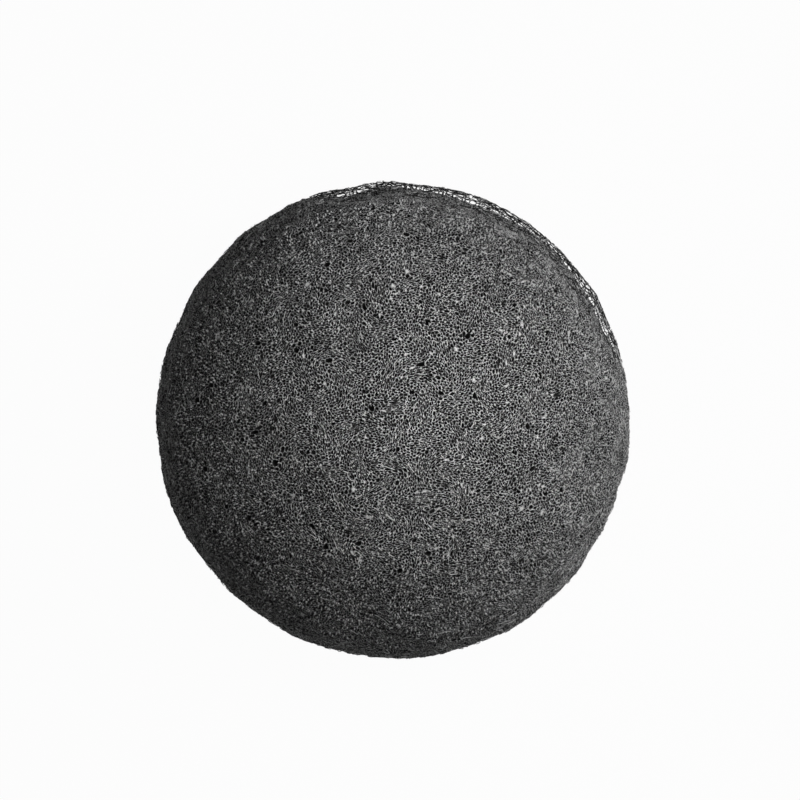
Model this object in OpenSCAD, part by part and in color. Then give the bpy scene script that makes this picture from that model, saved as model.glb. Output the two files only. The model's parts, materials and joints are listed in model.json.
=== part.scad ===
// Half-ball konjac facial sponge: an open foam moulded in a bowl, with a flat back.
// Z points up, out of the top of the dome. The flat back lies on z = 0.
// The sponge is one moulding. It is divided here into the layers that differ when it is
// squeezed: the top of the dome, the side with its rounded foot, the flat back and the core.

/* [Sponge] */
// Diameter at the widest line, just above the foot
sponge_d = 80; // [72:1:90]
// Height from the flat back to the top of the dome
sponge_h = 38; // [36.5:0.5:42]
// Radius of the rounded foot between the side and the flat back
foot_r = 4; // [3:0.25:6]
// How far the top of the dome can be pressed down
press_travel = 18; // [14:0.5:18.5]

/* [Layers] */
// Thickness of the denser layer of cells all round
skin_t = 1.5; // [1.2:0.1:2.5]
// Diameter of the flat back layer, inside the foot
back_d = 62; // [50:1:66]
// Gap between the core and the layers on the dome and the side
core_gap = 0.3; // [0.2:0.05:0.5]
// Gap round the edge of the flat back layer
back_gap = 0.1; // [0.05:0.05:0.2]

/* [Open cells] */
// Open cells on the top of the dome
dome_cells = 150; // [10:1:180]
// Open cells round the side
rim_cells = 120; // [10:1:150]
// Open cells on the flat back
back_cells = 64; // [10:1:80]
// Radius of the smallest open cell
cell_r_min = 0.35; // [0.2:0.05:0.5]
// Radius of the largest open cell
cell_r_max = 0.8; // [0.6:0.05:1.1]
// Foam left under the deepest open cell, and beside it at the edge of a layer
cell_wall = 0.3; // [0.15:0.05:0.35]

/* [Hidden] */

// Facets of a full circle: the sponge's own, and an open cell's
$fn = 180;
cell_fn = 24;

// Colours of the charcoal foam
skin_grey = [0.27, 0.27, 0.27];
back_grey = [0.24, 0.24, 0.24];
core_grey = [0.17, 0.17, 0.17];

// The seam between the side and the top of the dome is as high as the sponge is when it is
// pressed right down.
half_w = sponge_d / 2;
back_r = back_d / 2;
seam_z = sponge_h - press_travel;

// A section through the axis has two arcs, tangent to each other: the ball, with its centre on
// the axis, and the foot, which ends on the flat back. The ball's radius is the one that makes
// the foot as wide as the sponge.
foot_c = [half_w - foot_r, foot_r];
ball_r = (pow(foot_c.x, 2) + pow(sponge_h - foot_r, 2) - pow(foot_r, 2))
    / (2 * (sponge_h - 2 * foot_r));
ball_c = [0, sponge_h - ball_r];

// Direction of the line through both centres, which the arcs meet on
tangent = (foot_c - ball_c) / (ball_r - foot_r);
meet_z = ball_c.y + ball_r * tangent.y;

// Open cells follow a spiral of golden-angle steps. Each is moved along it and across it by up
// to these shares of a step, so that no rows show.
golden_turn = 360 * (1 - 1 / ((1 + sqrt(5)) / 2));
turn_share = 0.07;
row_share = 0.35;

// Degrees that set how the cells' places along the spiral, across it and their sizes vary
turn_step = 97.3;
row_step = 61.7;
size_step = 41.9;

// Largest open cell that leaves the wall under it, and how near to an edge its centre may lie
cell_top_r = min(cell_r_max, skin_t - cell_wall);
edge_keep = cell_top_r + cell_wall;

// Radius of the ball's surface at height z
function side_r(z) = sqrt(pow(ball_r, 2) - pow(z - ball_c.y, 2));

// Half of a section through the axis, moved in by inset all round. It runs up from the flat
// back, and both arcs keep their centres.
module half_section(inset) {
    far = sponge_d + sponge_h;
    intersection() {
        translate([0, inset]) square([half_w, sponge_h]);
        union() {
            intersection() {
                translate(ball_c) circle(r = ball_r - inset);
                polygon([ball_c, ball_c + far * tangent, [far, far], [0, far]]);
            }
            translate(foot_c) circle(r = foot_r - inset);
            square(foot_c);
        }
    }
}

// The layer of cells all round, in half section
module skin_section() {
    difference() {
        half_section(0);
        half_section(skin_t);
    }
}

// A number from -1 to 1 for cell i, which looks random from one cell to the next
function varied(i, step) = sin(step * i * i);

// Open cells at points on the outer surface, each with a radius of its own
module open_cells(points) {
    for (i = [0 : len(points) - 1])
        let (big_share = (1 + varied(i, size_step)) / 2)
            translate(points[i])
                sphere(r = cell_r_min + (cell_top_r - cell_r_min) * big_share, $fn = cell_fn);
}

// Points on the curved surface between two heights, spread evenly from the top down
function side_points(low, high, count) = [
    for (i = [0 : count - 1])
        let (
            z = high - (high - low) * (i + 1 / 2 + row_share * varied(i, row_step)) / count,
            a = golden_turn * (i + turn_share * varied(i, turn_step))
        )
        [side_r(z) * cos(a), side_r(z) * sin(a), z]
];

// Points on the flat back inside a radius, spread evenly from its centre out
function back_points(reach, count) = [
    for (i = [0 : count - 1])
        let (
            r = reach * sqrt((i + 1 / 2 + row_share * varied(i, row_step)) / count),
            a = golden_turn * (i + turn_share * varied(i, turn_step))
        )
        [r * cos(a), r * sin(a), 0]
];

// Soft foam inside, standing on the back layer
module foam_core() {
    color(core_grey) {
        rotate_extrude() half_section(skin_t + core_gap);
        translate([0, 0, skin_t]) cylinder(r = back_r, h = core_gap);
    }
}

// Flat back, which the sponge rests on
module back_skin() {
    color(back_grey) difference() {
        cylinder(r = back_r, h = skin_t);
        open_cells(back_points(back_r - edge_keep, back_cells));
    }
}

// Side and rounded foot, open at the seam and round the flat back
module rim_skin() {
    color(skin_grey) difference() {
        rotate_extrude() difference() {
            skin_section();
            translate([0, seam_z]) square([sponge_d, sponge_h]);
            square([back_r + back_gap, foot_r]);
        }
        open_cells(side_points(meet_z + edge_keep, seam_z - edge_keep, rim_cells));
    }
}

// Top of the dome, which the fingers press on
module dome_skin() {
    color(skin_grey) difference() {
        rotate_extrude() intersection() {
            skin_section();
            translate([0, seam_z]) square([sponge_d, sponge_h]);
        }
        open_cells(side_points(seam_z + edge_keep, sponge_h, dome_cells));
    }
}

foam_core();
back_skin();
rim_skin();
dome_skin();
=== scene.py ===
"""A konjac sponge: half a ball of charcoal foam with a flat back, dressed cell by cell.

Sites scattered over the outer surface are joined into triangles, and the dual of those
triangles is a net of foam cells. Geometry Nodes sink each cell into a cup between thin walls,
and lay loose strands of a coarser net over them. The skin is made in two shells, which meet on
the same cell edges at the seam that the squeeze divides, and a core of coarse cells fills them.
"""

import json
import logging
import math
from dataclasses import dataclass, field
from enum import Enum
from typing import Callable, Mapping, Sequence, Union

import bmesh
import bpy
import numpy as np
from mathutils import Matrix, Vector
from mathutils.geometry import delaunay_2d_cdt


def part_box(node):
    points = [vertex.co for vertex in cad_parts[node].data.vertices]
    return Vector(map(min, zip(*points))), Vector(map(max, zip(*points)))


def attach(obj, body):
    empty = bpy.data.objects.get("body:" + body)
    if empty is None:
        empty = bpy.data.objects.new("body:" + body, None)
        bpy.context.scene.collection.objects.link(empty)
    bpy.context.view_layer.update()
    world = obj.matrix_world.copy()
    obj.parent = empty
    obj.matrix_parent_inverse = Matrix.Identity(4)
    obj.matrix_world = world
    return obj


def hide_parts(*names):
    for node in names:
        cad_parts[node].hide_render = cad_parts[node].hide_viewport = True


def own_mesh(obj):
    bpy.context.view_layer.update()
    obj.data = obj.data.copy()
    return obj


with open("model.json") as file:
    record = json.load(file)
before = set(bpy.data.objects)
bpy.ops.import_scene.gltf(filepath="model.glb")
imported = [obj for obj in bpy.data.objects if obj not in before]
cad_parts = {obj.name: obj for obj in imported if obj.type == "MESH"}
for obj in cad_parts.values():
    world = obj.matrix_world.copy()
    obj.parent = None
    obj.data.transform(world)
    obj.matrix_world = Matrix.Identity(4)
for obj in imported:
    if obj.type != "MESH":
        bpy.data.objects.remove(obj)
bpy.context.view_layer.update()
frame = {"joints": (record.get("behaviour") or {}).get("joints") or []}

MM = 0.001
UP = (0.0, 0.0, 1.0)
DOWN = (0.0, 0.0, -1.0)
WHITE = (1.0, 1.0, 1.0, 1.0)
NOISE_MIDDLE = 0.5
MAP_MIDDLE = 0.5
REGION_SLACK = 0.5
LOG = logging.getLogger("konjac_sponge")
BAKE_MAP = "OFBake"


class Signal:
    """One output of a node. Arithmetic on it adds Math nodes to its tree."""

    def __init__(self, graph: "Graph", socket: bpy.types.NodeSocket) -> None:
        """Wraps a socket of the graph's tree."""
        self.graph = graph
        self.socket = socket

    def other(self, name: str) -> "Signal":
        """Another output of the same node."""
        return Signal(self.graph, self.graph.socket(self.socket.node.outputs, name))

    def math(self, operation: str, *others: "Value") -> "Signal":
        """The result of a Math node whose first input is this value."""
        return self.graph.math(operation, self, *others)

    def __add__(self, other: "Value") -> "Signal":
        """This value plus another."""
        return self.math("ADD", other)

    def __radd__(self, other: "Value") -> "Signal":
        """Another value plus this one."""
        return self.math("ADD", other)

    def __sub__(self, other: "Value") -> "Signal":
        """This value less another."""
        return self.math("SUBTRACT", other)

    def __rsub__(self, other: "Value") -> "Signal":
        """Another value less this one."""
        return self.graph.math("SUBTRACT", other, self)

    def __mul__(self, other: "Value") -> "Signal":
        """This value times another."""
        return self.math("MULTIPLY", other)

    def __rmul__(self, other: "Value") -> "Signal":
        """Another value times this one."""
        return self.math("MULTIPLY", other)

    def __gt__(self, other: "Value") -> "Signal":
        """1 where this value is the greater, and else 0."""
        return self.math("GREATER_THAN", other)

    def between(self, low: float, high: float) -> "Signal":
        """A smooth step from 0 at low to 1 at high."""
        return self.graph.add(
            "ShaderNodeMapRange",
            {"interpolation_type": "SMOOTHSTEP"},
            {"Value": self, "From Min": low, "From Max": high},
        )

    def about_one(self, spread: float) -> "Signal":
        """A factor that goes up by a spread as this value goes from 0 to 1, past 1 halfway."""
        return (1 - spread / 2) + spread * self


Value = Union[Signal, float, int]
Setting = Union[str, int, float, bool]
Key = Union[int, str]


class Graph:
    """A node tree, and the one way its nodes are made."""

    def __init__(self, tree: bpy.types.NodeTree) -> None:
        """Wraps a tree."""
        self.tree = tree

    @classmethod
    def emptied(cls, owner: Union[bpy.types.Material, bpy.types.World]) -> "Graph":
        """A material's or a world's tree, without its nodes.

        Args:
            owner: The material or world.

        Returns:
            The empty tree.
        """
        owner.use_nodes = True
        owner.node_tree.nodes.clear()
        return cls(owner.node_tree)

    @staticmethod
    def socket(sockets: Sequence[bpy.types.NodeSocket], key: Key) -> bpy.types.NodeSocket:
        """Finds a socket.

        Args:
            sockets: A node's inputs or outputs.
            key: Its number among those in use, its identifier, or the name of one in use.

        Returns:
            The socket.
        """
        if isinstance(key, int):
            return [found for found in sockets if found.enabled][key]
        for found in sockets:
            if found.identifier == key and found.enabled:
                return found
        return next(found for found in sockets if found.name == key and found.enabled)

    def add(
        self,
        kind: str,
        settings: Mapping[str, Setting] | None = None,
        sockets: Mapping[Key, object] | None = None,
        output: Key = 0,
    ) -> Signal:
        """Adds a node.

        Args:
            kind: The node's type.
            settings: Its properties, which are set first.
            sockets: The values or links of its inputs.
            output: The output that is wanted.

        Returns:
            That output.
        """
        node = self.tree.nodes.new(kind)
        for name, value in (settings or {}).items():
            setattr(node, name, value)
        for key, value in (sockets or {}).items():
            found = self.socket(node.inputs, key)
            if isinstance(value, Signal):
                self.tree.links.new(value.socket, found)
            else:
                found.default_value = value
        return Signal(self, self.socket(node.outputs, output))

    def end(self, kind: str, made: Signal, socket: str = "Surface") -> None:
        """Links what is made to the tree's output node."""
        leave = self.tree.nodes.new(kind)
        self.tree.links.new(made.socket, leave.inputs[socket])

    def math(self, operation: str, *values: Value) -> Signal:
        """The result of a Math node."""
        return self.add("ShaderNodeMath", {"operation": operation}, dict(enumerate(values)))

    def vector(self, operation: str, *values: object, scale: Value | None = None) -> Signal:
        """The result of a Vector Math node.

        Args:
            operation: What it works out.
            values: Its vectors.
            scale: Its number, where it has one.

        Returns:
            The vector, or the number of a dot product.
        """
        sockets: dict[Key, object] = dict(enumerate(values))
        if scale is not None:
            sockets["Scale"] = scale
        return self.add("ShaderNodeVectorMath", {"operation": operation}, sockets)

    def noise(self, place: Signal, size: float, detail: float = 1.0, seed: float = 0.0) -> Signal:
        """Smooth noise from 0 to 1 with features of about a size in metres."""
        return self.add(
            "ShaderNodeTexNoise",
            {"noise_dimensions": "4D"},
            {"Vector": place, "W": seed, "Scale": 1 / size, "Detail": detail},
        )

    def sway(self, reach: Signal, size: float, seed: float, detail: float = 1.0) -> Signal:
        """An offset that wanders from place to place.

        Args:
            reach: How far it goes.
            size: The size of its swings across the surface, in metres.
            seed: Which pattern it takes.
            detail: How much finer swings are in it.

        Returns:
            The offset.
        """
        drift = self.noise(self.add("GeometryNodeInputPosition"), size, detail, seed)
        drift = self.vector("SUBTRACT", drift.other("Color"), (NOISE_MIDDLE,) * 3)
        return self.vector("SCALE", drift, scale=2.0 * reach)

    def moved(self, made: Signal, offset: Signal) -> Signal:
        """Geometry whose points are moved by an offset."""
        return self.add("GeometryNodeSetPosition", {}, {"Geometry": made, "Offset": offset})

    def attribute(self, name: str) -> Signal:
        """The number that each point or face carries under a name."""
        return self.add("GeometryNodeInputNamedAttribute", {"data_type": "FLOAT"}, {"Name": name})

    def marked(
        self,
        made: Signal,
        name: str,
        value: Value,
        chosen: Signal | None = None,
        domain: str = "POINT",
    ) -> Signal:
        """Geometry that carries a number under a name.

        Args:
            made: The geometry.
            name: The number's name.
            value: The number.
            chosen: The part that gets it, or None for all.
            domain: What carries it, points or faces.

        Returns:
            The same geometry with the number.
        """
        sockets: dict[Key, object] = {"Geometry": made, "Name": name, "Value": value}
        if chosen is not None:
            sockets["Selection"] = chosen
        settings = {"data_type": "FLOAT", "domain": domain}
        return self.add("GeometryNodeStoreNamedAttribute", settings, sockets)


class NodesTool:
    """A Geometry Nodes tree with named inputs, which is run on a mesh."""

    KINDS = {float: "Float", int: "Int"}

    def __init__(self, name: str) -> None:
        """Starts a tree that takes and gives geometry.

        Args:
            name: Its name.
        """
        self.name = name
        self.tree = bpy.data.node_groups.new(name, "GeometryNodeTree")
        self.graph = Graph(self.tree)
        self.values: dict[str, object] = {}
        for way in ("INPUT", "OUTPUT"):
            self.tree.interface.new_socket(
                "Geometry", in_out=way, socket_type="NodeSocketGeometry"
            )
        self.entry = self.tree.nodes.new("NodeGroupInput")

    def geometry(self) -> Signal:
        """The geometry that comes in."""
        return Signal(self.graph, self.entry.outputs["Geometry"])

    def input(self, name: str, value: object) -> Signal:
        """Adds a named input.

        Args:
            name: Its name.
            value: The value that it gets: a number or a material.

        Returns:
            The input, for use in the tree.
        """
        kind = self.KINDS.get(type(value), "Material")
        item = self.tree.interface.new_socket(
            name, in_out="INPUT", socket_type=f"NodeSocket{kind}"
        )
        self.values[item.identifier] = value
        return Signal(self.graph, self.entry.outputs[name])

    def finish(self, made: Signal, material: bpy.types.Material | None = None) -> None:
        """Ends the tree.

        Args:
            made: The geometry that comes out.
            material: What it wears, if it is shown.
        """
        made = self.graph.add("GeometryNodeRealizeInstances", {}, {"Geometry": made})
        if material is not None:
            wear = self.input("Material", material)
            made = self.graph.add(
                "GeometryNodeSetMaterial", {}, {"Geometry": made, "Material": wear}
            )
        self.graph.end("NodeGroupOutput", made, "Geometry")

    def run(self, mesh: bpy.types.Mesh) -> bpy.types.Mesh:
        """Runs the tree.

        Args:
            mesh: What it starts from.

        Returns:
            A plain mesh of what it makes.
        """
        carrier = placed(self.name, mesh)
        modifier = carrier.modifiers.new(self.name, "NODES")
        modifier.node_group = self.tree
        for identifier, value in self.values.items():
            modifier[identifier] = value
        depsgraph = bpy.context.evaluated_depsgraph_get()
        made = bpy.data.meshes.new_from_object(
            carrier.evaluated_get(depsgraph), preserve_all_data_layers=True, depsgraph=depsgraph
        )
        bpy.data.objects.remove(carrier)
        return made


def placed(name: str, data: bpy.types.ID) -> bpy.types.Object:
    """Puts something new in the scene.

    Args:
        name: Its name.
        data: Its mesh, lamp or camera.

    Returns:
        The new object.
    """
    made = bpy.data.objects.new(name, data)
    bpy.context.scene.collection.objects.link(made)
    return made


def corners(mesh: bpy.types.Mesh) -> np.ndarray:
    """Reads where a mesh's vertices are.

    Args:
        mesh: The mesh.

    Returns:
        Rows of x, y, z.
    """
    found = np.empty(len(mesh.vertices) * 3, np.float32)
    mesh.vertices.foreach_get("co", found)
    return found.reshape(-1, 3).astype(float)


def store(mesh: bpy.types.Mesh, name: str, values: np.ndarray) -> None:
    """Keeps one number for each vertex of a mesh."""
    kept = mesh.attributes.new(name, "FLOAT", "POINT")
    kept.data.foreach_set("value", np.asarray(values, np.float32))


@dataclass(frozen=True)
class Profile:
    """Half a section of the sponge: a ball, a rounded foot and the flat back.

    A place on the surface is an arc length from the top and a turn about the axis.
    """

    half_width: float
    height: float
    seam: float
    foot: float = 4.0 * MM
    foot_steps: int = 200
    least_share: float = 1e-4

    @classmethod
    def from_frame(cls) -> "Profile":
        """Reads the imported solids.

        Returns:
            Their profile.
        """
        _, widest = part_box("rim_skin")
        seam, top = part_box("dome_skin")
        return cls(half_width=widest.x, height=top.z, seam=seam.z)

    @property
    def foot_x(self) -> float:
        """Radius of the circle that the foot is rounded about."""
        return self.half_width - self.foot

    @property
    def ball(self) -> float:
        """Radius of the ball, which makes the foot as wide as the sponge."""
        rise = self.height - self.foot
        return (self.foot_x**2 + rise**2 - self.foot**2) / (2 * (rise - self.foot))

    @property
    def middle(self) -> float:
        """Height of the ball's centre."""
        return self.height - self.ball

    @property
    def meet(self) -> float:
        """Angle from the axis at which the ball meets the foot."""
        return math.atan2(self.foot_x, self.foot - self.middle)

    @property
    def ends(self) -> tuple[float, float, float]:
        """Measures along the surface.

        Returns:
            Arc lengths from the top to the ends of the ball, the foot and the back.
        """
        first = self.ball * self.meet
        second = first + self.foot * (math.pi - self.meet)
        return first, second, second + self.foot_x

    @property
    def seam_arc(self) -> float:
        """Arc length from the top to the seam."""
        return self.ball * math.acos((self.seam - self.middle) / self.ball)

    def aside(self, places: np.ndarray) -> np.ndarray:
        """How far points are from the axis, as shares of half the width."""
        return np.hypot(places[:, 0], places[:, 1]) / self.half_width

    def _turned(self, arc: np.ndarray) -> np.ndarray:
        """Finds which way the surface faces.

        Args:
            arc: Arc lengths.

        Returns:
            The normals' angles from the axis.
        """
        first, second, _ = self.ends
        foot = self.meet + (arc - first) / self.foot
        return np.where(arc < first, arc / self.ball, np.where(arc < second, foot, math.pi))

    def points(self, arc: np.ndarray, turn: np.ndarray, inset: float = 0.0) -> np.ndarray:
        """Finds points on the surface.

        Args:
            arc: Arc lengths.
            turn: Turns.
            inset: How far in the points are moved.

        Returns:
            Rows of x, y, z.
        """
        first, second, _ = self.ends
        angle = self._turned(arc)
        on_ball = (arc < first)[:, None]
        centre = np.where(on_ball, [0.0, self.middle], [self.foot_x, self.foot])
        radius = np.where(arc < first, self.ball, self.foot) - inset
        out = centre[:, 0] + radius * np.sin(angle)
        out = np.where(arc < second, out, self.foot_x - (arc - second))
        up = centre[:, 1] + radius * np.cos(angle)
        return np.stack([out * np.cos(turn), out * np.sin(turn), up], 1)

    def normals(self, arc: np.ndarray, turn: np.ndarray) -> np.ndarray:
        """Finds which way the surface faces, as directions.

        Args:
            arc: Arc lengths.
            turn: Turns.

        Returns:
            Outward normals.
        """
        angle = self._turned(arc)
        out = np.sin(angle)
        return np.stack([out * np.cos(turn), out * np.sin(turn), np.cos(angle)], 1)

    def located(self, places: np.ndarray) -> tuple[np.ndarray, np.ndarray]:
        """Finds where on the surface points are.

        Args:
            places: Points on or near it.

        Returns:
            Their arc lengths and turns.
        """
        first, second, _ = self.ends
        out = np.hypot(places[:, 0], places[:, 1])
        turn = np.arctan2(places[:, 1], places[:, 0])
        up = places[:, 2] - self.middle
        angle = np.arctan2(out, up)
        foot = np.arctan2(out - self.foot_x, places[:, 2] - self.foot)
        foot = np.clip(foot, self.meet, math.pi)
        # A point is taken to lie on the ball where that is nearer than the flat back.
        off_back = places[:, 2]
        off_ball = np.abs(np.hypot(out, up) - self.ball)
        arc = np.where(
            (off_ball < off_back) & (angle < self.meet),
            self.ball * angle,
            np.where(
                (out > self.foot_x) | (places[:, 2] > self.foot),
                first + self.foot * (foot - self.meet),
                second + self.foot_x - out,
            ),
        )
        return arc, turn

    def flattened(self, arc: np.ndarray, turn: np.ndarray) -> np.ndarray:
        """Lays the whole surface on a plane, so that small shapes keep their angles.

        Args:
            arc: Arc lengths.
            turn: Turns.

        Returns:
            Rows of x, y, with the top at 0.
        """
        first, second, last = self.ends
        steps = np.linspace(first, second, self.foot_steps)
        out = self.foot_x + self.foot * np.sin(self._turned(steps))
        grown = np.concatenate([[0], np.cumsum(np.diff(steps) * (1 / out[1:] + 1 / out[:-1]) / 2)])
        at_meet = math.log(math.tan(self.meet / 2))
        on_ball = np.log(np.tan(np.clip(arc / self.ball, self.least_share, self.meet) / 2))
        on_foot = at_meet + np.interp(arc, steps, grown)
        left = np.maximum(last - arc, self.least_share * self.foot_x)
        on_back = at_meet + grown[-1] + np.log(self.foot_x / left)
        reach = np.exp(np.where(arc < first, on_ball, np.where(arc < second, on_foot, on_back)))
        return np.stack([reach * np.cos(turn), reach * np.sin(turn)], 1)


@dataclass(frozen=True)
class Wave:
    """A wave in the outline: how many times it goes round, its height and where it peaks."""

    count: int
    height: float
    peak: float


def stepped(values: np.ndarray, low: float, high: float) -> np.ndarray:
    """A smooth step of values, from 0 at low to 1 at high."""
    share = np.clip((values - low) / (high - low), 0, 1)
    return share * share * (3 - 2 * share)


def random_waves(
    rng: np.random.Generator, count: int, size: float
) -> tuple[np.ndarray, np.ndarray]:
    """Draws waves that run in all directions.

    Args:
        rng: What draws them.
        count: How many there are.
        size: Their length in metres.

    Returns:
        Their wave vectors and the phases that they start at.
    """
    ways = rng.normal(size=(count, 3))
    ways *= 2 * math.pi / size / np.linalg.norm(ways, axis=1)[:, None]
    return ways, rng.uniform(0, 2 * math.pi, count)


@dataclass(frozen=True)
class Flow:
    """A slow swirling drift along the surface, which draws the cells out in patches."""

    profile: Profile
    size: float = 7.0 * MM
    strain: float = 0.95
    steps: int = 4
    terms: int = 16
    settle: int = 6
    seed: int = 31

    def _drift(self, places: np.ndarray) -> np.ndarray:
        """Finds one step of the drift.

        Args:
            places: Points near the surface.

        Returns:
            How far each moves, along the surface.
        """
        rng = np.random.default_rng(self.seed)
        pace = 2 * math.pi / self.size
        ways, starts = random_waves(rng, self.terms, self.size)
        slopes = np.cos(places @ ways.T + starts) @ ways
        across = np.cross(self.profile.normals(*self.profile.located(places)), slopes)
        return across * self.strain / (self.steps * pace**2 * math.sqrt(self.terms / 2))

    def _held(self, places: np.ndarray, inset: float) -> np.ndarray:
        """Points put back on the surface, at an inset."""
        return self.profile.points(*self.profile.located(places), inset)

    def onward(self, places: np.ndarray, inset: float) -> np.ndarray:
        """Lets points drift.

        Args:
            places: Points on the surface.
            inset: How far in it is.

        Returns:
            Where they end.
        """
        for _ in range(self.steps):
            places = self._held(places + self._drift(places), inset)
        return places

    def back(self, places: np.ndarray, inset: float) -> np.ndarray:
        """Finds where points have to start from.

        Args:
            places: Where they are to end.
            inset: How far in the surface is.

        Returns:
            Where they start.
        """
        for _ in range(self.steps):
            goal = places
            for _ in range(self.settle):
                places = self._held(goal - self._drift(places), inset)
        return places


@dataclass(frozen=True)
class OpenRim:
    """The stretch of the rim where only a net of strands is left round a sunken body."""

    profile: Profile
    depth: float = 1.45 * MM
    middle: float = math.radians(62)
    spread: float = math.radians(52)
    fade: float = math.radians(14)
    dips: int = 9
    dip_turn: float = math.radians(68)
    dip_share: float = 0.5
    start_share: float = 0.90
    full_share: float = 0.965
    outer_share: float = 0.983
    under: tuple[float, float] = (0.25, 0.95)
    edge: float = 0.25

    def shares(self, arc: np.ndarray, turn: np.ndarray) -> np.ndarray:
        """Finds how much of the depth the body is sunk by.

        Args:
            arc: Arc lengths.
            turn: Turns.

        Returns:
            Shares from 0 to 1.
        """
        places = self.profile.points(arc, turn)
        aside = self.profile.aside(places)
        away = np.abs((turn - self.middle + math.pi) % (2 * math.pi) - math.pi)
        across = 1 - stepped(away, self.spread - self.fade, self.spread)
        across *= 1 - self.dip_share * (1 - np.cos(self.dips * (turn - self.dip_turn))) / 2
        down = 1 - stepped(-self.profile.normals(arc, turn)[:, 2], *self.under)
        flank = np.where(places[:, 2] > self.profile.foot, aside, 1.0)
        return across * down * stepped(flank, self.start_share, self.full_share)

    def covers(self, arc: np.ndarray, turn: np.ndarray) -> np.ndarray:
        """Where the loose net of strands is."""
        return self.shares(arc, turn) > self.edge

    def outlines(self, arc: np.ndarray, turn: np.ndarray) -> np.ndarray:
        """Finds where the close net of strands is, round the widest line.

        Args:
            arc: Arc lengths.
            turn: Turns.

        Returns:
            Whether each place has it.
        """
        places = self.profile.points(arc, turn)
        aside = self.profile.aside(places)
        return self.covers(arc, turn) & (aside > self.outer_share)


@dataclass(frozen=True)
class Relief:
    """How far the sponge's outer surface stands from its plain profile."""

    profile: Profile
    waves: tuple[Wave, ...] = (
        Wave(2, 0.14 * MM, math.radians(-82)),
        Wave(3, 0.10 * MM, math.radians(46)),
        Wave(4, 0.07 * MM, math.radians(36)),
        Wave(6, 0.06 * MM, math.radians(4)),
    )
    lump: float = 0.16 * MM
    lump_sizes: tuple[float, ...] = (11.0 * MM, 5.5 * MM, 2.8 * MM)
    lump_terms: int = 18
    sunk: bool = True
    rest: float = 0.5
    seed: int = 11

    def lumps(self, places: np.ndarray) -> np.ndarray:
        """Finds low swells, which run in no direction of their own.

        Args:
            places: Points near the surface.

        Returns:
            Heights in metres.
        """
        rng = np.random.default_rng(self.seed)
        total = np.zeros(len(places))
        for size in self.lump_sizes:
            ways, starts = random_waves(rng, self.lump_terms, size)
            swells = np.sin(places @ ways.T + starts)
            total += swells.sum(1) / math.sqrt(self.lump_terms) * (size / self.lump_sizes[0])
        return total * self.lump

    def heights(self, arc: np.ndarray, turn: np.ndarray) -> np.ndarray:
        """Finds how far the surface stands out.

        Args:
            arc: Arc lengths.
            turn: Turns.

        Returns:
            Heights in metres.
        """
        places = self.profile.points(arc, turn)
        aside = self.profile.aside(places)
        flank = np.clip(places[:, 2] / self.profile.foot, 0, 1) * aside**2
        total = self.lumps(places)
        for wave in self.waves:
            total += flank * wave.height * np.cos(wave.count * (turn - wave.peak))
        down = np.clip(-self.profile.normals(arc, turn)[:, 2] / self.rest, 0, 1)
        total -= np.maximum(total, 0) * down
        if self.sunk:
            rim = OpenRim(self.profile)
            total -= rim.depth * rim.shares(arc, turn)
        return total


@dataclass(frozen=True)
class OpenCells:
    """The larger open cells, which lie where the solids' pits are."""

    profile: Profile
    dome_count: int = 150
    rim_count: int = 120
    back_count: int = 64
    back_radius: float = 31.0 * MM
    least: float = 0.35 * MM
    most: float = 0.80 * MM
    wall: float = 0.30 * MM
    turn_share: float = 0.07
    row_share: float = 0.35
    turn_step: float = 97.3
    row_step: float = 61.7
    size_step: float = 41.9

    @staticmethod
    def varied(numbers: np.ndarray, step: float) -> np.ndarray:
        """Numbers from -1 to 1 that look random from one cell to the next."""
        return np.sin(np.radians(step * numbers**2))

    def _spiral(self, count: int) -> tuple[np.ndarray, np.ndarray, np.ndarray]:
        """Lays a group of cells along a spiral.

        Args:
            count: How many there are.

        Returns:
            Shares of the way along the group, turns and radii.
        """
        numbers = np.arange(count, dtype=float)
        golden = 2 * math.pi * (1 - 2 / (1 + math.sqrt(5)))
        along = (numbers + 1 / 2 + self.row_share * self.varied(numbers, self.row_step)) / count
        turn = golden * (numbers + self.turn_share * self.varied(numbers, self.turn_step))
        big = (1 + self.varied(numbers, self.size_step)) / 2
        return along, turn, self.least + (self.most - self.least) * big

    def _side(self, low: float, high: float, count: int) -> tuple[np.ndarray, np.ndarray]:
        """Lays cells on the ball.

        Args:
            low: The height that they start at.
            high: The height that they end at.
            count: How many there are.

        Returns:
            Their places and radii.
        """
        along, turn, radius = self._spiral(count)
        up = high - (high - low) * along
        arc = self.profile.ball * np.arccos((up - self.profile.middle) / self.profile.ball)
        return self.profile.points(arc, turn), radius

    def all(self) -> tuple[np.ndarray, np.ndarray]:
        """Lays all the open cells.

        Returns:
            Their places and radii.
        """
        keep = self.most + self.wall
        low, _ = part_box("rim_skin")
        meet_z = self.profile.middle + self.profile.ball * math.cos(self.profile.meet)
        seam = self.profile.seam
        dome = self._side(seam + keep, self.profile.height, self.dome_count)
        rim = self._side(meet_z + keep, seam - keep, self.rim_count)
        along, turn, radius = self._spiral(self.back_count)
        reach = (self.back_radius - keep) * np.sqrt(along)
        back = np.stack([reach * np.cos(turn), reach * np.sin(turn), np.full_like(turn, low.z)], 1)
        places = np.concatenate([dome[0], rim[0], back])
        return places, np.concatenate([dome[1], rim[1], radius])


class Region(Enum):
    """The two shells of the skin, and what belongs to neither."""

    NONE = -2
    DOME = 0
    SIDE = 1

    @property
    def body(self) -> str:
        """The body that the shell rides on."""
        return "dome" if self is Region.DOME else "back"

    @property
    def solids(self) -> tuple[str, ...]:
        """The solids that the shell stands for."""
        return ("dome_skin",) if self is Region.DOME else ("rim_skin", "back_skin")

    def called(self, what: str) -> str:
        """The name of one of the shell's pieces."""
        return f"{self.name.lower()}_{what}"


SHELLS = (Region.DOME, Region.SIDE)
Cover = Callable[[np.ndarray, np.ndarray], np.ndarray]


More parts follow.
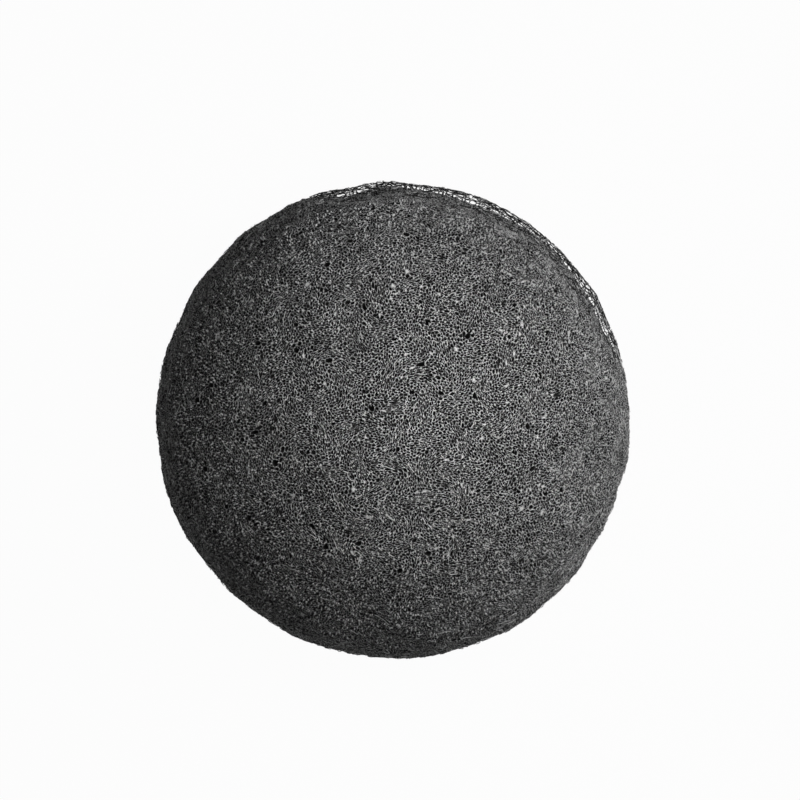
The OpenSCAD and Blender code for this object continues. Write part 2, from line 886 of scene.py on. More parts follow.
@dataclass(frozen=True)
class FoamLook:
    """Charcoal foam: painted highlights on strands and wall tops, painted shade in the cells.

    The level of painted light that the foam carries is 0 in the floor of a deep cell, where the
    painted shade is darkest, 1 on top of a wall and on a strand, and 2 where a highlight is
    painted all over.
    """

    name: str
    # The grey of the painted highlights, of the walls, and of the painted shade deep in the cells.
    painted_highlight_grey: float = 0.85
    wall_grey: float = 0.015
    pit_shade_grey: float = 0.003
    most_grey: float = 0.92
    wall: tuple[float, float] = (0.0, 0.4)
    edge: tuple[float, float] = (0.40, 0.52)
    full_highlight: tuple[float, float] = (1.2, 1.6)
    strand_roughness: float = 0.26
    cell_roughness: float = 0.85
    gloss: float = 0.05
    glint: float = 0.20 * MM
    glint_from: tuple[float, float] = (0.45, 0.62)
    unglinted: float = 0.10
    tone_spread: float = 0.3
    patch: float = 8.0 * MM
    patch_detail: float = 3.0
    patch_seed: float = 4.0
    patch_spread: float = 0.6
    swirl: float = 0.45 * MM
    swirl_seed: float = 9.0
    swirl_width: tuple[float, float] = (0.02, 0.09)
    bump: float = 0.5
    bump_height: float = 0.08 * MM

    def material(self) -> bpy.types.Material:
        """Builds the material.

        Returns:
            A material that reads the foam's tone and its level of painted light and shade.
        """
        made = bpy.data.materials.new(self.name)
        graph = Graph.emptied(made)
        place = graph.add("ShaderNodeTexCoord", {}, {}, "Object")
        painted_light = graph.add("ShaderNodeAttribute", {"attribute_name": "painted_light"}, {}, "Fac")
        tone = graph.add("ShaderNodeAttribute", {"attribute_name": "tone"}, {}, "Fac")
        # Painted light on the tops of walls and strands, with painted glints where noise makes
        # some stretches far brighter.
        glint = graph.noise(place, self.glint).between(*self.glint_from)
        patch = graph.noise(place, self.patch, self.patch_detail, self.patch_seed)
        lit = painted_light.between(*self.edge) * (self.unglinted + (1 - self.unglinted) * glint)
        lit = lit * tone.about_one(self.tone_spread)
        # Faces at the top level, films, tips and some strands, are painted as highlights all over.
        lit = lit.math("MAXIMUM", painted_light.between(*self.full_highlight))
        # Painted shade: the grey falls from that of the walls to the darkest at the floors of deep
        # cells.
        shade = self.pit_shade_grey + (self.wall_grey - self.pit_shade_grey) * painted_light.between(*self.wall)
        # Painted highlight on the strands and wall tops, up to the highlight grey.
        shade = shade + (self.painted_highlight_grey - self.wall_grey) * lit
        shade = (shade * patch.about_one(self.patch_spread)).math("MINIMUM", self.most_grey)
        rough = self.cell_roughness + (self.strand_roughness - self.cell_roughness) * lit
        swirl = graph.noise(place, self.swirl, seed=self.swirl_seed) - NOISE_MIDDLE
        worms = 1.0 - swirl.math("ABSOLUTE").between(*self.swirl_width)
        bump = graph.add(
            "ShaderNodeBump",
            {},
            {"Height": worms, "Strength": self.bump, "Distance": self.bump_height},
        )
        colour = graph.add(
            "ShaderNodeCombineColor", {}, {"Red": shade, "Green": shade, "Blue": shade}
        )
        surface = graph.add(
            "ShaderNodeBsdfPrincipled",
            {},
            {
                "Base Color": colour,
                "Roughness": rough,
                "Specular IOR Level": self.gloss,
                "Normal": bump,
            },
        )
        graph.end("ShaderNodeOutputMaterial", surface)
        return made


@dataclass
class CellNet:
    """A net of triangles over the sponge, whose dual is the foam's cells."""

    profile: Profile
    relief: Relief
    spacing: float
    inset: float = 0.0
    thin_out: float = 0.15
    thin_from: tuple[float, float] = (0.3, 0.75)
    back_thin_out: float = 0.5
    back_from: tuple[float, float] = (0.5, 0.9)
    rings: int = 120
    around: int = 240
    seed: int = 1
    density: float = 3.6e7
    patch: float = 1.7 * MM
    patch_detail: float = 2.0
    apart: float = 1e-12
    covers: Cover | None = None

    def __post_init__(self) -> None:
        """Sets how the sites drift."""
        self.flow = Flow(self.profile)

    def _body(self) -> bpy.types.Mesh:
        """Makes a body to scatter sites on.

        Returns:
            A plain closed mesh of the profile.
        """
        last = self.profile.ends[2]
        arcs = np.linspace(0, last, self.rings + 1)[1:-1]
        turns = np.arange(self.around) * (2 * math.pi / self.around)
        arc, turn = np.meshgrid(arcs, turns, indexing="ij")
        ring = self.profile.points(arc.ravel(), turn.ravel(), self.inset)
        poles = self.profile.points(np.array([0, last]), np.zeros(2), self.inset)
        top, bottom = len(ring), len(ring) + 1
        low = (len(arcs) - 1) * self.around
        faces: list[tuple[int, ...]] = []
        for near in range(self.around):
            far = (near + 1) % self.around
            faces.append((top, near, far))
            faces.append((bottom, low + far, low + near))
            for row in range(len(arcs) - 1):
                here = row * self.around
                below = here + self.around
                faces.append((here + near, below + near, below + far, here + far))
        mesh = bpy.data.meshes.new("plain_body")
        mesh.from_pydata(np.concatenate([ring, poles]).tolist(), [], faces)
        return mesh

    def _scattered(self) -> np.ndarray:
        """Scatters sites no nearer to each other than the spacing, fewer in some patches.

        Returns:
            Their places.
        """
        tool = NodesTool("scatter_sites")
        graph = tool.graph
        place = graph.add("GeometryNodeInputPosition")
        share = graph.noise(place, self.patch, self.patch_detail, float(self.seed))
        keep = 1.0 - tool.input("Thin Out", self.thin_out) * share.between(*self.thin_from)
        face = graph.add("GeometryNodeInputNormal")
        under = graph.vector("DOT_PRODUCT", face, DOWN).between(*self.back_from)
        keep = keep * (1.0 - tool.input("Back Thin Out", self.back_thin_out) * under)
        spread = graph.add(
            "GeometryNodeDistributePointsOnFaces",
            {"distribute_method": "POISSON"},
            {
                "Mesh": tool.geometry(),
                "Distance Min": tool.input("Spacing", self.spacing),
                "Density Max": tool.input("Density", self.density),
                "Density Factor": keep,
                "Seed": tool.input("Seed", self.seed),
            },
        )
        tool.finish(graph.add("GeometryNodePointsToVertices", {}, {"Points": spread}))
        return corners(tool.run(self._body()))

    def _sites(self, open_cells: OpenCells | None) -> tuple[np.ndarray, np.ndarray]:
        """Chooses the sites.

        Args:
            open_cells: Larger cells that get a site of their own, with none near it.

        Returns:
            The sites' places, and the radius of each larger cell or 0.
        """
        sites = self._scattered()
        pole = self.profile.points(np.array([self.profile.ends[2]]), np.zeros(1), self.inset)
        sites = sites[np.linalg.norm(sites - pole, axis=1) > self.spacing]
        opened = np.zeros(len(sites))
        if open_cells is None:
            return sites, opened
        places, radii = open_cells.all()
        ends = self.flow.onward(sites, self.inset)
        free = np.ones(len(sites), bool)
        for place, radius in zip(places, radii):
            free &= np.linalg.norm(ends - place, axis=1) > radius
        sites = np.concatenate([sites[free], self.flow.back(places, self.inset)])
        return sites, np.concatenate([opened[free], radii])

    def triangles(self, open_cells: OpenCells | None = None) -> bpy.types.Mesh:
        """Joins the sites.

        Args:
            open_cells: Larger cells that get a site of their own, with none near it.

        Returns:
            A closed mesh of triangles, with each site's open, tone and region kept.
        """
        sites, opened = self._sites(open_cells)
        last = self.profile.ends[2]
        arc, turn = self.profile.located(sites)
        flat = self.profile.flattened(arc, turn)
        spots, _, faces, origin, _, _ = delaunay_2d_cdt(
            [Vector(spot) for spot in flat.tolist()], [], [], 0, self.apart, True
        )
        order = np.array([found[0] for found in origin])
        arc, turn, opened = arc[order], turn[order], opened[order]
        found = np.array(faces)
        edges = np.concatenate([found[:, [0, 1]], found[:, [1, 2]], found[:, [2, 0]]])
        known = {(int(a), int(b)) for a, b in edges}
        rim = [(b, a, len(spots)) for a, b in known if (b, a) not in known]
        arc, turn = np.append(arc, last), np.append(turn, 0.0)
        places = self.flow.onward(self.profile.points(arc, turn, self.inset), self.inset)
        arc, turn = self.profile.located(places)
        normals = self.profile.normals(arc, turn)
        places += normals * self.relief.heights(arc, turn)[:, None]
        mesh = bpy.data.meshes.new("triangles")
        mesh.from_pydata(places.tolist(), [], [tuple(face) for face in faces] + sorted(rim))
        rng = np.random.default_rng(self.seed)
        store(mesh, "opened", np.append(opened, 0.0))
        store(mesh, "tone", rng.random(len(places)))
        region = (arc > self.profile.seam_arc).astype(float)
        if self.covers is not None:
            region = np.where(self.covers(arc, turn), region, Region.NONE.value)
        store(mesh, "region", region)
        return mesh


def cells_of(tool: NodesTool, region: Region | None) -> Signal:
    """Turns a net of triangles into cells.

    Args:
        tool: The tree that gets the net, and the shell as an input.
        region: The shell whose cells are wanted, or None for all.

    Returns:
        The cells, as one face each.
    """
    graph = tool.graph
    cells = graph.add("GeometryNodeDualMesh", {}, {"Mesh": tool.geometry()})
    if region is None:
        return cells
    wanted = tool.input("Region", region.value)
    same = graph.add(
        "FunctionNodeCompare",
        {"data_type": "FLOAT", "operation": "EQUAL"},
        {"A": graph.attribute("region"), "B": wanted, "Epsilon": REGION_SLACK},
    )
    return graph.add(
        "GeometryNodeSeparateGeometry", {"domain": "FACE"}, {"Geometry": cells, "Selection": same}
    )


@dataclass(frozen=True)
class CupForm:
    """How each cell of a net is sunk into a cup."""

    wall_share: float = 0.78
    open_wall_share: float = 0.90
    wall_edge_light: float = 0.5
    floor_share: float = 0.70
    crown: float = 0.04 * MM
    sink: float = 0.25 * MM
    gap_size: float = 0.7 * MM
    gap_seed: float = 6.0
    gap: tuple[float, float] = (0.62, 0.76)
    gap_shade: float = 0.55
    depth_low: float = 0.10 * MM
    depth_high: float = 0.60 * MM
    deep: tuple[float, float] = (0.35, 0.95)
    shallow_floor_light: float = 0.3
    open_depth_share: float = 1.0
    film_share: float = 0.012
    rim_film_share: float = 0.06
    film_depth: float = 0.02 * MM
    film_floor_share: float = 0.85
    film_highlight: float = 2.0
    wobble: float = 0.10 * MM
    wobble_size: float = 0.4 * MM
    wobble_seed: float = 2.0

    def mesh(
        self, net: bpy.types.Mesh, region: Region | None, material: bpy.types.Material
    ) -> bpy.types.Mesh:
        """Makes the cells.

        Args:
            net: The net of triangles.
            region: The shell whose cells are wanted, or None for all.
            material: What they wear.

        Returns:
            The cells' outer surface.
        """
        tool = NodesTool("foam_cells")
        graph = tool.graph
        cells = self._wobbled(tool, cells_of(tool, region))
        chance, radius = graph.attribute("tone"), graph.attribute("opened")
        opened = radius > 0.0
        cells = self._filmed(tool, cells, chance, opened)
        rim = graph.add(
            "GeometryNodeExtrudeMesh",
            {"mode": "FACES"},
            {"Mesh": cells, "Offset Scale": 0.0 - tool.input("Crown", self.crown)},
        )
        wider = tool.input("Open Wall Extra", self.open_wall_share - self.wall_share)
        share = tool.input("Wall Share", self.wall_share) + wider * opened
        walled = self._scaled(graph, rim, share)
        # The inner edge of a wall's top gets half the wall's painted light, as painted shade down
        # into the cup.
        painted_light = self.wall_edge_light * graph.attribute("painted_light")
        walled = graph.marked(walled, "painted_light", painted_light, rim.other("Top"))
        film = graph.attribute("film")
        deep = chance.between(*self.deep)
        low = tool.input("Least Depth", self.depth_low)
        depth = low + (tool.input("Most Depth", self.depth_high) - low) * deep
        depth = depth.math("MAXIMUM", radius * tool.input("Open Depth", self.open_depth_share))
        depth = depth + film * (tool.input("Film Depth", self.film_depth) - depth)
        cup = graph.add(
            "GeometryNodeExtrudeMesh",
            {"mode": "FACES"},
            {"Mesh": walled, "Selection": rim.other("Top"), "Offset Scale": 0.0 - depth},
        )
        wider = tool.input("Film Floor Extra", self.film_floor_share - self.floor_share)
        share = tool.input("Floor Share", self.floor_share) + wider * film
        floor = self._scaled(graph, cup, share)
        # Floors of deep and open cells get the darkest painted shade, shallow floors a little
        # less, and a film a highlight painted all over.
        shallow = (1.0 - deep) * (1.0 - opened)
        painted_light = self.shallow_floor_light * shallow * (1.0 - film) + self.film_highlight * film
        made = graph.marked(floor, "painted_light", painted_light, cup.other("Top"))
        made = graph.add("GeometryNodeSetShadeSmooth", {}, {"Geometry": made})
        tool.finish(made, material)
        return tool.run(net)

    @staticmethod
    def _scaled(graph: Graph, raised: Signal, share: Signal) -> Signal:
        """Scales the faces that an extrusion ended in, each about its middle."""
        return graph.add(
            "GeometryNodeScaleElements",
            {"domain": "FACE"},
            {"Geometry": raised, "Selection": raised.other("Top"), "Scale": share},
        )

    def _filmed(self, tool: NodesTool, cells: Signal, chance: Signal, opened: Signal) -> Signal:
        """Marks the few cells that a film closes, painted all over as a highlight, which are more
        where the side is steep.

        Args:
            tool: The tree.
            cells: The cells.
            chance: A random number for each.
            opened: 1 for the larger open cells, which have none.

        Returns:
            The cells with the mark.
        """
        graph = tool.graph
        normal = graph.add("GeometryNodeInputNormal")
        steep = 1.0 - graph.vector("DOT_PRODUCT", normal, UP).math("ABSOLUTE")
        more = tool.input("Rim Film Extra", self.rim_film_share - self.film_share) * steep * steep
        share = tool.input("Film Share", self.film_share) + more
        return graph.marked(cells, "film", (share > chance) * (1.0 - opened), domain="FACE")

    def _wobbled(self, tool: NodesTool, cells: Signal) -> Signal:
        """Moves each corner of the cells a little, and sinks the walls in places.

        Args:
            tool: The tree.
            cells: The cells.

        Returns:
            The cells, painted darker as painted shade where the walls are sunk.
        """
        graph = tool.graph
        reach = tool.input("Wobble", self.wobble)
        drift = graph.sway(reach, self.wobble_size, self.wobble_seed)
        place = graph.add("GeometryNodeInputPosition")
        low = graph.noise(place, self.gap_size, detail=0.0, seed=self.gap_seed)
        low = low.between(*self.gap)
        normal = graph.add("GeometryNodeInputNormal")
        sunk = graph.vector("SCALE", normal, scale=0.0 - low * tool.input("Sink", self.sink))
        # Walls sunk in the gaps get painted shade.
        cells = graph.marked(cells, "painted_light", 1.0 - self.gap_shade * low)
        return graph.moved(cells, graph.vector("ADD", drift, sunk))


@dataclass(frozen=True)
class StrandForm:
    """Loose strands along some edges of a coarse net, and stubs at some of its corners."""

    share: float = 0.28
    thickness: float = 0.14 * MM
    thick_spread: float = 1.2
    thick_seed: float = 3.0
    step: float = 0.3 * MM
    sides: int = 3
    lift: float = 0.08 * MM
    full_highlight_share: float = 0.2
    tone_seed: int = 4
    pillar_share: float = 0.0
    pillar_seed: int = 8
    pillar: float = 1.0 * MM
    facing: float = -2.0
    sway: float = 0.22 * MM
    sway_size: float = 0.9 * MM
    sway_detail: float = 2.0
    sway_seed: float = 7.0
    seed: int = 5

    def mesh(
        self, net: bpy.types.Mesh, region: Region, material: bpy.types.Material
    ) -> bpy.types.Mesh:
        """Makes the strands over one shell.

        Args:
            net: The coarse net of triangles.
            region: The shell that they lie on.
            material: What they wear.

        Returns:
            Closed tubes.
        """
        tool = NodesTool("foam_strands")
        graph = tool.graph
        normal = graph.add("GeometryNodeInputNormal")
        lift = graph.vector("SCALE", normal, scale=tool.input("Lift", self.lift))
        made = graph.moved(cells_of(tool, region), lift)
        share, seed = tool.input("Share", self.share), tool.input("Seed", self.seed)
        chosen = self._chosen(graph, share, seed)
        facing = graph.vector("DOT_PRODUCT", normal, UP)
        rooting = tool.input("Pillar Share", self.pillar_share)
        rooting = rooting * (facing > tool.input("Least Facing", self.facing))
        made = graph.add(
            "GeometryNodeExtrudeMesh",
            {"mode": "VERTICES"},
            {
                "Mesh": made,
                "Selection": self._chosen(graph, rooting, self.pillar_seed),
                "Offset": normal,
                "Offset Scale": 0.0 - tool.input("Pillar", self.pillar),
            },
        )
        drawn = graph.add(
            "FunctionNodeBooleanMath", {"operation": "OR"}, {0: chosen, 1: made.other("Side")}
        )
        lines = graph.add("GeometryNodeMeshToCurve", {}, {"Mesh": made, "Selection": drawn})
        lines = graph.add(
            "GeometryNodeResampleCurve",
            {"mode": "LENGTH"},
            {"Curve": lines, "Length": tool.input("Step", self.step)},
        )
        reach = tool.input("Sway", self.sway)
        drift = graph.sway(reach, self.sway_size, self.sway_seed, self.sway_detail)
        tubes = self._thickened(tool, graph.moved(lines, drift))
        island = graph.add("GeometryNodeInputMeshIsland", {}, {}, "Island Index")
        tone = graph.add(
            "FunctionNodeRandomValue",
            {"data_type": "FLOAT"},
            {"ID": island, "Seed": self.tone_seed},
            "Value",
        )
        # A share of the strands are painted as highlights all over; the rest take the painted
        # light of a wall top.
        full_highlight = tool.input("Full Highlight Share", self.full_highlight_share) > tone
        tubes = graph.marked(tubes, "painted_light", 1.0 + full_highlight)
        tubes = graph.marked(tubes, "tone", tone)
        tubes = graph.add("GeometryNodeSetShadeSmooth", {}, {"Geometry": tubes})
        tool.finish(tubes, material)
        return tool.run(net)

    @staticmethod
    def _chosen(graph: Graph, share: Signal, seed: Value) -> Signal:
        """A random choice of a share of the edges or corners."""
        return graph.add(
            "FunctionNodeRandomValue",
            {"data_type": "BOOLEAN"},
            {"Probability": share, "Seed": seed},
        )

    def _thickened(self, tool: NodesTool, lines: Signal) -> Signal:
        """Gives the strands their thickness, which varies along them.

        Args:
            tool: The tree.
            lines: The curves that they follow.

        Returns:
            Closed tubes.
        """
        graph = tool.graph
        place = graph.add("GeometryNodeInputPosition")
        thick = graph.noise(place, self.sway_size, seed=self.thick_seed)
        profile = graph.add(
            "GeometryNodeCurvePrimitiveCircle",
            {"mode": "RADIUS"},
            {"Resolution": tool.input("Sides", self.sides), "Radius": 1.0},
        )
        half = tool.input("Thickness", self.thickness / 2)
        return graph.add(
            "GeometryNodeCurveToMesh",
            {},
            {
                "Curve": lines,
                "Profile Curve": profile,
                "Scale": half * thick.about_one(self.thick_spread),
                "Fill Caps": True,
            },
        )


Loop = list[bmesh.types.BMVert]


@dataclass
class Shell:
    """Closes a shell of cells with an inner wall, and lays out its map."""

    profile: Profile
    thickness: float
    rings: int = 30
    map_radius: float = 0.49
    wall_map: float = 0.06
    wall_share: float = 0.98

    def close(self, mesh: bpy.types.Mesh, region: Region) -> None:
        """Adds the inner wall.

        Args:
            mesh: The outer surface, open at the seam.
            region: The shell, which says at which pole the wall closes.
        """
        work = bmesh.new()
        work.from_mesh(mesh)
        painted_light = work.verts.layers.float["painted_light"]
        outer = self._loop(work)
        arc, turn = self.profile.located(np.array([vert.co for vert in outer]))
        rim = OpenRim(self.profile)
        end = 0.0 if region is Region.DOME else self.profile.ends[2]
        for ring in range(self.rings):
            here = arc + (end - arc) * ring / self.rings
            points = self.profile.points(here, turn, self.thickness)
            sunk = rim.depth * rim.shares(here, turn)
            points -= self.profile.normals(here, turn) * sunk[:, None]
            inner = [work.verts.new(point) for point in points]
            # The inner wall gets the darkest painted shade.
            for vert in inner:
                vert[painted_light] = 0.0
            self._join(work, outer, inner)
            outer = inner
        tip = work.verts.new(self.profile.points(np.array([end]), np.zeros(1), self.thickness)[0])
        for near, far in zip(outer, outer[1:] + outer[:1]):
            work.faces.new((far, near, tip)).smooth = True
        work.to_mesh(mesh)
        work.free()

    @staticmethod
    def _loop(work: bmesh.types.BMesh) -> Loop:
        """Finds the boundary.

        Args:
            work: The mesh, which has one.

        Returns:
            Its vertices in the order that its faces run along it.
        """
        after = {}
        for edge in work.edges:
            if edge.is_boundary:
                side = edge.link_loops[0]
                after[side.vert] = side.link_loop_next.vert
        start = next(iter(after))
        loop = [start]
        while after[loop[-1]] is not start:
            loop.append(after[loop[-1]])
        return loop

    @staticmethod
    def _join(work: bmesh.types.BMesh, outer: Loop, inner: Loop) -> None:
        """Adds a band of faces between two loops, whose winding follows the shell's.

        Args:
            work: The mesh.
            outer: The loop that is nearer the seam.
            inner: The next one.
        """
        for at in range(len(outer)):
            near, far = outer[at - 1], outer[at]
            work.faces.new((far, near, inner[at - 1], inner[at])).smooth = True

    def lay_out(self, mesh: bpy.types.Mesh, region: Region | None) -> None:
        """Maps the surface on a disc about its pole, with the inner wall in a corner.

        Args:
            mesh: The piece's mesh.
            region: Its shell, or None for one that closes at both poles.
        """
        places = corners(mesh)
        arc, turn = self.profile.located(places)
        last = self.profile.ends[2]
        reach = arc / last if region is None else arc / self.profile.seam_arc
        if region is Region.SIDE:
            reach = (last - arc) / (last - self.profile.seam_arc)
        reach = reach / max(1.0, float(reach.max())) * self.map_radius
        flat = np.stack([reach * np.cos(turn), reach * np.sin(turn)], 1) + MAP_MIDDLE
        stand = np.linalg.norm(places - self.profile.points(arc, turn), axis=1)
        inner = stand > self.thickness * self.wall_share
        corner = (flat - MAP_MIDDLE) * self.wall_map * 2 + self.wall_map
        loops = np.empty(len(mesh.loops), np.int32)
        mesh.loops.foreach_get("vertex_index", loops)
        starts = np.empty(len(mesh.polygons), np.int32)
        totals = np.empty(len(mesh.polygons), np.int32)
        mesh.polygons.foreach_get("loop_start", starts)
        mesh.polygons.foreach_get("loop_total", totals)
        hidden = np.repeat(np.logical_or.reduceat(inner[loops], starts), totals)
        spots = np.where(hidden[:, None], corner[loops], flat[loops])
        layer = mesh.uv_layers.new(name=BAKE_MAP)
        layer.uv.foreach_set("vector", spots.astype(np.float32).ravel())


@dataclass
class Sponge:
    """The sponge: two shells of skin, their strands, the nets at the rim and the core."""

    profile: Profile = field(default_factory=Profile.from_frame)
    skin: float = 1.5 * MM
    core_gap: float = 0.3 * MM
    cell: float = 0.40 * MM
    strand_cell: float = 0.8 * MM
    core_cell: float = 2.2 * MM
    net_inset: float = 0.25 * MM
    fill: float = 0.8
    bare: float = 1.0 * MM
    joint: str = "press"

    def __post_init__(self) -> None:
        """Works out what the pieces share."""
        self.relief = Relief(self.profile)
        self.smooth = Relief(self.profile, sunk=False)
        self.shell = Shell(self.profile, self.skin)
        # The skin's look carries the painted highlights and shade; the rim nets' look has almost
        # no painted highlight, and the core's a weaker one.
        self.skin_look = FoamLook("charcoal_foam").material()
        self.net_look = FoamLook("charcoal_net", painted_highlight_grey=0.06).material()
        self.core_look = FoamLook(
            "charcoal_core", painted_highlight_grey=0.12, wall_grey=0.06, pit_shade_grey=0.01
        ).material()
        travel = next(j["range_m"] for j in frame["joints"] if j["name"] == self.joint)
        self.keep = 1 + min(travel) / self.profile.height

    def _piece(
        self, name: str, mesh: bpy.types.Mesh, region: Region | None
    ) -> bpy.types.Object:
        """Makes a mesh a piece that rides on a body.

        Args:
            name: The piece's name.
            mesh: Its mesh.
            region: The shell that it is part of, or None for the core.

        Returns:
            The piece.
        """
        self.shell.lay_out(mesh, region)
        mesh.name = name
        made = placed(name, mesh)
        body = "back" if region is None else region.body
        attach(made, body)
        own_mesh(made)
        LOG.info("%s: %d faces, rides on %s", name, len(mesh.polygons), body)
        return made

    def _lay(self, what: str, form: StrandForm, net: bpy.types.Mesh) -> None:
        """Lays strands of one form over both shells."""
        for region in SHELLS:
            self._piece(region.called(what), form.mesh(net, region, self.skin_look), region)

    def build_skin(self) -> None:
        """Makes the two shells of cells, which share the net at the seam."""
        net = CellNet(self.profile, self.relief, self.cell).triangles(OpenCells(self.profile))
        cups = CupForm()
        for region in SHELLS:
            mesh = cups.mesh(net, region, self.skin_look)
            if region is Region.SIDE:
                self._rest(mesh)
            self.shell.close(mesh, region)
            made = self._piece(region.called("foam"), mesh, region)
            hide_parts(*region.solids)
        self._build_tips(net)

    def _build_tips(self, net: bpy.types.Mesh) -> None:
        """Stands short tips of torn walls on some corners of the cells, painted all over as
        highlights.

        Args:
            net: The net that the cells are made from.
        """
        tips = StrandForm(
            share=0.0,
            thickness=0.28 * MM,
            step=0.2 * MM,
            lift=0.0,
            full_highlight_share=1.0,
            pillar_share=0.1,
            pillar=-0.28 * MM,
            facing=0.45,
            sway=0.08 * MM,
            sway_size=0.4 * MM,
        )
        self._lay("tips", tips, net)

    @staticmethod
    def _rest(mesh: bpy.types.Mesh) -> None:
        """Flattens what would lie under the floor.

        Args:
            mesh: The side's cells, which are moved.
        """
        places = corners(mesh)
        places[:, 2] = np.maximum(places[:, 2], 0.0)
        mesh.vertices.foreach_set("co", places.astype(np.float32).ravel())

    def _above_back(self, arc: np.ndarray, turn: np.ndarray) -> np.ndarray:
        """Everywhere but on the flat back and what turns under."""
        return self.profile.points(arc, turn)[:, 2] > self.bare

    def build_strands(self) -> None:
        """Lays loose strands over both shells."""
        net = CellNet(
            self.profile,
            self.smooth,
            self.strand_cell,
            seed=3,
            density=8e6,
            covers=self._above_back,
        ).triangles()
        self._lay("strands", StrandForm(), net)

    def build_rim_net(self) -> None:
        """Stretches a close net round the widest line, and a loose one over the sunken part."""
        rim = OpenRim(self.profile)
        for name, inset, spacing, covers, share, seed in (
            ("outer_net", 0.0, 1.1 * MM, rim.outlines, 0.85, 21),
            ("inner_net", self.net_inset, 1.8 * MM, rim.covers, 0.60, 22),
        ):
            net = CellNet(
                self.profile,
                self.smooth,
                spacing,
                inset=inset,
                seed=seed,
                density=5e6,
                covers=covers,
            ).triangles()
            strands = StrandForm(
                share=share,
                thickness=0.20 * MM,
                lift=0.0,
                sway=0.10 * MM,
                pillar_share=0.20,
                pillar=rim.depth - inset,
                seed=seed,
            )
            self._piece(name, strands.mesh(net, Region.SIDE, self.net_look), Region.SIDE)

    def build_core(self) -> None:
        """Makes the core of coarser cells inside both shells."""
        net = CellNet(
            self.profile,
            Relief(self.profile, waves=(), lump=0.0),
            self.core_cell,
            inset=self.skin + self.core_gap,
            thin_out=0.2,
            density=1e6,
            seed=2,
        ).triangles()
        cups = CupForm(depth_low=0.5 * MM, depth_high=1.6 * MM)
        made = self._piece("core_foam", cups.mesh(net, None, self.core_look), None)
        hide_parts("foam_core")


@dataclass(frozen=True)
class Lamp:
    """A soft round lamp, tilted from straight above and turned from +X by degrees."""

    name: str
    power: float
    tilt: float
    turn: float
    size: float = 0.35
    far: float = 0.9

    def hang(self) -> None:
        """Makes the lamp, which shines on the sponge and isn't seen."""
        data = bpy.data.lights.new(self.name, "AREA")
        data.shape = "DISK"
        data.size = self.size
        data.energy = self.power
        tilt, turn = math.radians(self.tilt), math.radians(self.turn)
        aside = math.sin(tilt)
        way = Vector((aside * math.cos(turn), aside * math.sin(turn), math.cos(tilt)))
        lamp = placed(self.name, data)
        lamp.location = way * self.far
        lamp.rotation_euler = way.to_track_quat("Z", "Y").to_euler()
        lamp.visible_camera = False


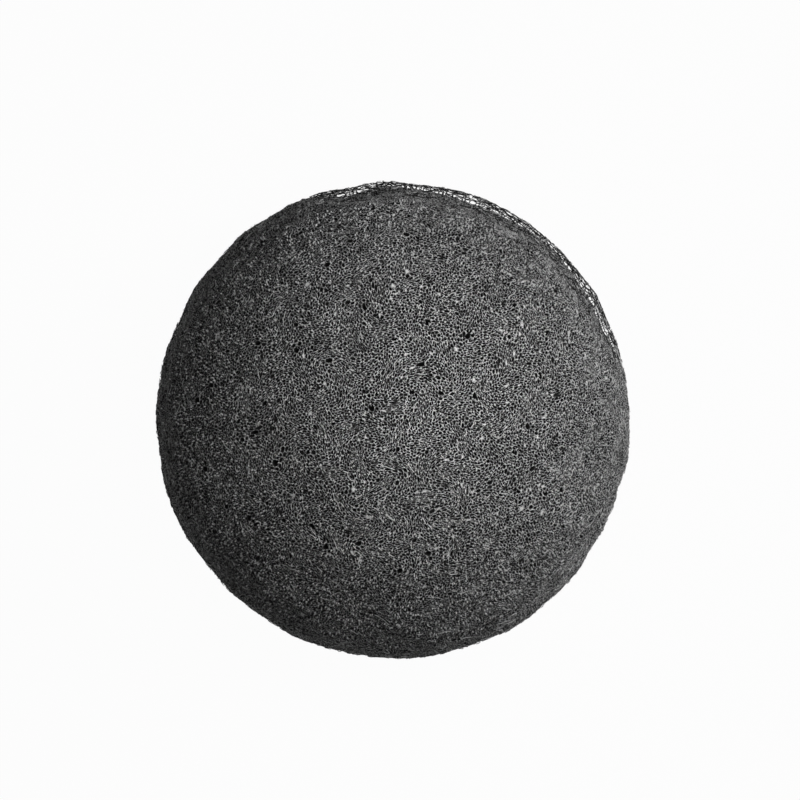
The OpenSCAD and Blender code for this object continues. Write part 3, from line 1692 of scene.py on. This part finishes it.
@dataclass(frozen=True)
class Studio:
    """The camera over the dome, the soft light and the white floor."""

    photo_side: float = 800.0
    centre_px: tuple[float, float] = (393.15, 419.92)
    radius_px: float = 237.5
    lens_mm: float = 150.0
    sensor_mm: float = 36.0
    sight: float = 10.0
    lamps: tuple[Lamp, ...] = (
        Lamp("key", 2.7, 65, 20),
        Lamp("near", 0.0075, 14, 0, 0.10, 0.18),
        Lamp("close", 0.035, 14, 25, 0.05, 0.12),
        Lamp("top", 0.0019, 5, 75, 0.03, 0.07),
    )
    sky: float = 0.053
    floor_size: float = 6.0
    floor_white: float = 0.7
    floor_own: float = 0.97

    def build(self, profile: Profile) -> None:
        """Makes the camera, the lamps, the sky and the floor.

        Args:
            profile: The sponge, which the camera is centred by.
        """
        self._camera(profile)
        for lamp in self.lamps:
            lamp.hang()
        self._sky()
        self._floor()

    def _camera(self, profile: Profile) -> None:
        """Puts the camera over the sponge, so that its outline has the photographed size.

        Args:
            profile: The sponge.
        """
        across = profile.half_width / self.radius_px
        far = across * self.photo_side * self.lens_mm / self.sensor_mm
        half = self.photo_side / 2
        lens = bpy.data.cameras.new("camera")
        lens.lens = self.lens_mm
        lens.sensor_width = self.sensor_mm
        lens.clip_end = self.sight
        camera = placed("camera", lens)
        camera.location = (
            (half - self.centre_px[0]) * across,
            (self.centre_px[1] - half) * across,
            profile.foot + far,
        )
        bpy.context.scene.camera = camera

    @staticmethod
    def _seen(graph: Graph) -> Signal:
        """Finds where the background is seen.

        Args:
            graph: The sky's or the floor's tree.

        Returns:
            1 where it is seen by itself, in a reflection or through something.
        """
        camera = graph.add("ShaderNodeLightPath", {}, {}, "Is Camera Ray")
        glossy, through = camera.other("Is Glossy Ray"), camera.other("Is Transmission Ray")
        return camera.math("MAXIMUM", glossy).math("MAXIMUM", through)

    def _sky(self) -> None:
        """Makes a dim sky that the camera sees as white."""
        world = bpy.data.worlds.new("sky")
        graph = Graph.emptied(world)
        strength = self.sky + (1 - self.sky) * self._seen(graph)
        glow = graph.add("ShaderNodeBackground", {}, {"Color": WHITE, "Strength": strength})
        graph.end("ShaderNodeOutputWorld", glow)
        bpy.context.scene.world = world

    def _floor(self) -> None:
        """Lays a white floor, which keeps a pale shadow."""
        half = self.floor_size / 2
        mesh = bpy.data.meshes.new("floor")
        spots = [(-half, -half, 0), (half, -half, 0), (half, half, 0), (-half, half, 0)]
        mesh.from_pydata(spots, [], [(0, 1, 2, 3)])
        paint = bpy.data.materials.new("floor_white")
        graph = Graph.emptied(paint)
        own = self._seen(graph) * self.floor_own
        white = (self.floor_white,) * 3 + (1,)
        matt = graph.add("ShaderNodeBsdfDiffuse", {}, {"Color": white})
        glow = graph.add("ShaderNodeEmission", {}, {"Color": WHITE, "Strength": 1.0})
        both = graph.add("ShaderNodeMixShader", {}, {0: own, 1: matt, 2: glow})
        graph.end("ShaderNodeOutputMaterial", both)
        mesh.materials.append(paint)
        placed("floor", mesh)


def numbers(box: Sequence[Sequence[float]]) -> list[list[float]]:
    """A box as plain lists."""
    return [[float(value) for value in corner] for corner in box]


def main() -> None:
    """Builds the sponge and its studio."""
    logging.basicConfig(level=logging.INFO, format="%(name)s: %(message)s")
    bpy.context.scene.view_settings.view_transform = "Standard"
    sponge = Sponge()
    Studio().build(sponge.profile)
    sponge.build_skin()
    sponge.build_strands()
    sponge.build_rim_net()
    sponge.build_core()


if __name__ == "__main__":
    main()
